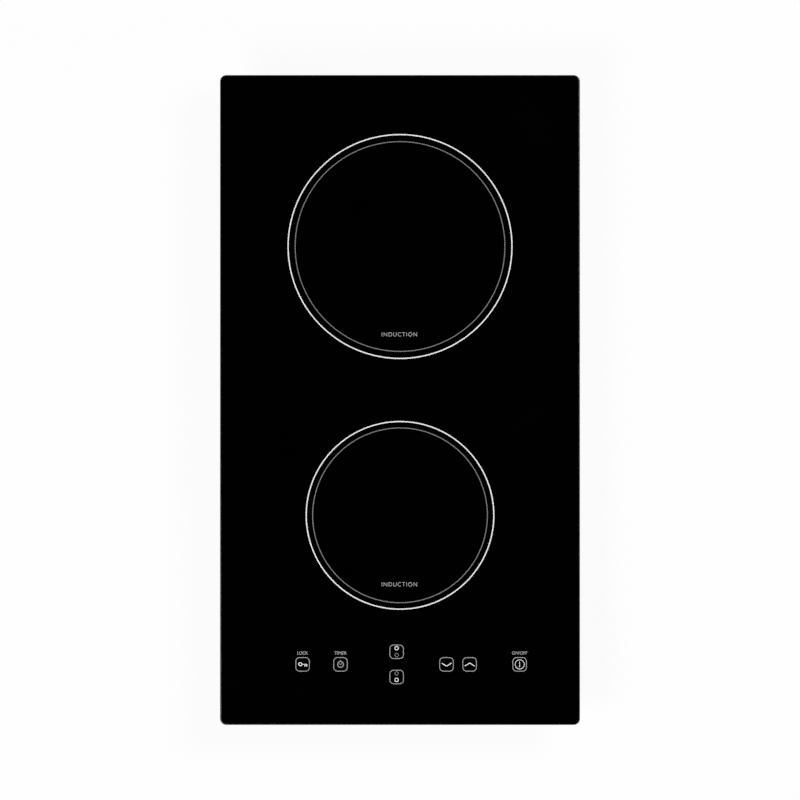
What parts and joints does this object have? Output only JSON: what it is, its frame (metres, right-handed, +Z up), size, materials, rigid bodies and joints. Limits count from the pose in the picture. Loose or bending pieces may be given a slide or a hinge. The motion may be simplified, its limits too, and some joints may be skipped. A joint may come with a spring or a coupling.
{
  "type": "electric induction cooktop",
  "caption": "Slim built-in induction hob: black glass plate with printed round zones and a touch key row, over a vented steel case with coils, blower, boards and swing clamps.",
  "frame": {"origin": "middle of the rim seat, level with the worktop surface: the underside of the foam seal under the glass", "axes": "+X to the right as the cook sees it, +Y to the rear, +Z up out of the worktop"},
  "size_m": [0.288, 0.52, 0.062],
  "materials": {
    "black_glass_ceramic": "polished, opaque black",
    "enamel_print": "fired enamel, light grey",
    "foam_seal": "closed cell foam",
    "galvanised_steel": "zinc coated sheet, satin",
    "zinc_plated_steel": "bright zinc plate",
    "sheet_aluminium": "mill finish",
    "silicone": "cured sealant",
    "black_plastic": "moulded, fine grain",
    "white_plastic": "moulded, satin",
    "carrier_plastic": "glass filled moulding",
    "gland_plastic": "moulded nylon",
    "terminal_plastic": "moulded, matt",
    "capacitor_plastic": "potted box",
    "capacitor_can": "sleeved can",
    "moulded_epoxy": "moulded epoxy",
    "board_laminate": "lacquered laminate",
    "motor_steel": "laminated core",
    "copper": "enamelled copper wire",
    "brass": "turned",
    "ferrite": "sintered, matt",
    "mica": "pressed mica",
    "fibre_mat": "ceramic fibre felt",
    "sensor_silicone": "moulded silicone",
    "conductive_foam": "carbon filled foam",
    "wire_sleeve": "glass fibre sleeve",
    "ribbon_sleeve": "flat cable"
  },
  "bodies": {
    "casing": {"blower_cover": "black_plastic", "blower_housing": "black_plastic", "blower_motor": "motor_steel", "board_standoffs": "white_plastic", "bottom_case": "galvanised_steel", "buzzer": "black_plastic", "cable_gland": "gland_plastic", "carrier_frame": "galvanised_steel", "case_screws": "zinc_plated_steel", "clamp_screws": "zinc_plated_steel", "coil_leads": "wire_sleeve", "coil_terminals": "brass", "control_board": "board_laminate", "control_ribbon": "ribbon_sleeve", "control_tray": "white_plastic", "digit_displays": "moulded_epoxy", "door_hinge": "zinc_plated_steel", "fibre_mats": "fibre_mat", "film_capacitors": "capacitor_plastic", "filter_board": "board_laminate", "front_coil_carrier": "carrier_plastic", "front_coil_winding": "copper", "front_ferrites": "ferrite", "front_zone_print": "enamel_print", "gland_nut": "gland_plastic", "glass_bond": "silicone", "glass_plate": "black_glass_ceramic", "heat_sensors": "sensor_silicone", "heatsink": "sheet_aluminium", "inner_screws": "zinc_plated_steel", "key_print": "enamel_print", "mains_wires": "wire_sleeve", "mica_sheets": "mica", "power_board": "board_laminate", "power_packages": "moulded_epoxy", "rear_coil_carrier": "carrier_plastic", "rear_coil_winding": "copper", "rear_ferrites": "ferrite", "rear_zone_print": "enamel_print", "ribbon_socket": "white_plastic", "ring_chokes": "copper", "shield_plate": "sheet_aluminium", "shield_posts": "zinc_plated_steel", "supply_capacitors": "capacitor_can", "supply_transformer": "ferrite", "terminal_block": "terminal_plastic", "terminal_screws": "brass", "touch_pads": "conductive_foam", "weld_nuts": "zinc_plated_steel", "worktop_gasket": "foam_seal"},
    "blower_wheel": {"blower_impeller": "black_plastic"},
    "terminal_lid": {"terminal_door": "black_plastic"},
    "clamp_nut_rear_left": {"clamp_nut_rear_left": "zinc_plated_steel"},
    "clamp_arm_rear_left": {"clamp_arm_rear_left": "zinc_plated_steel"},
    "clamp_nut_front_left": {"clamp_nut_front_left": "zinc_plated_steel"},
    "clamp_arm_front_left": {"clamp_arm_front_left": "zinc_plated_steel"},
    "clamp_nut_rear_right": {"clamp_nut_rear_right": "zinc_plated_steel"},
    "clamp_arm_rear_right": {"clamp_arm_rear_right": "zinc_plated_steel"},
    "clamp_nut_front_right": {"clamp_nut_front_right": "zinc_plated_steel"},
    "clamp_arm_front_right": {"clamp_arm_front_right": "zinc_plated_steel"}
  },
  "joints": [
    {"name": "blower_spin", "type": "hinge", "parent": "casing", "child": "blower_wheel", "pos_m": [0.058, 0.193, -0.04], "axis": [0, 0, 1], "continuous": true},
    {"name": "terminal_door_swing", "type": "hinge", "parent": "casing", "child": "terminal_lid", "pos_m": [-0.1081, 0.2474, -0.033], "axis": [0, 0, 1], "range_deg": [0, 110]},
    {"name": "clamp_rise_rear_left", "type": "slide", "parent": "casing", "child": "clamp_nut_rear_left", "axis": [0, 0, 1], "range_m": [0, 0.02]},
    {"name": "clamp_swing_rear_left", "type": "hinge", "parent": "clamp_nut_rear_left", "child": "clamp_arm_rear_left", "pos_m": [-0.1235, 0.195, -0.0446], "axis": [0, 0, -1], "range_deg": [0, 90]},
    {"name": "clamp_rise_front_left", "type": "slide", "parent": "casing", "child": "clamp_nut_front_left", "axis": [0, 0, 1], "range_m": [0, 0.02]},
    {"name": "clamp_swing_front_left", "type": "hinge", "parent": "clamp_nut_front_left", "child": "clamp_arm_front_left", "pos_m": [-0.1235, -0.1745, -0.0446], "axis": [0, 0, 1], "range_deg": [0, 90]},
    {"name": "clamp_rise_rear_right", "type": "slide", "parent": "casing", "child": "clamp_nut_rear_right", "axis": [0, 0, 1], "range_m": [0, 0.02]},
    {"name": "clamp_swing_rear_right", "type": "hinge", "parent": "clamp_nut_rear_right", "child": "clamp_arm_rear_right", "pos_m": [0.1235, 0.195, -0.0446], "axis": [0, 0, 1], "range_deg": [0, 90]},
    {"name": "clamp_rise_front_right", "type": "slide", "parent": "casing", "child": "clamp_nut_front_right", "axis": [0, 0, 1], "range_m": [0, 0.02]},
    {"name": "clamp_swing_front_right", "type": "hinge", "parent": "clamp_nut_front_right", "child": "clamp_arm_front_right", "pos_m": [0.1235, -0.1745, -0.0446], "axis": [0, 0, -1], "range_deg": [0, 90]}
  ]
}
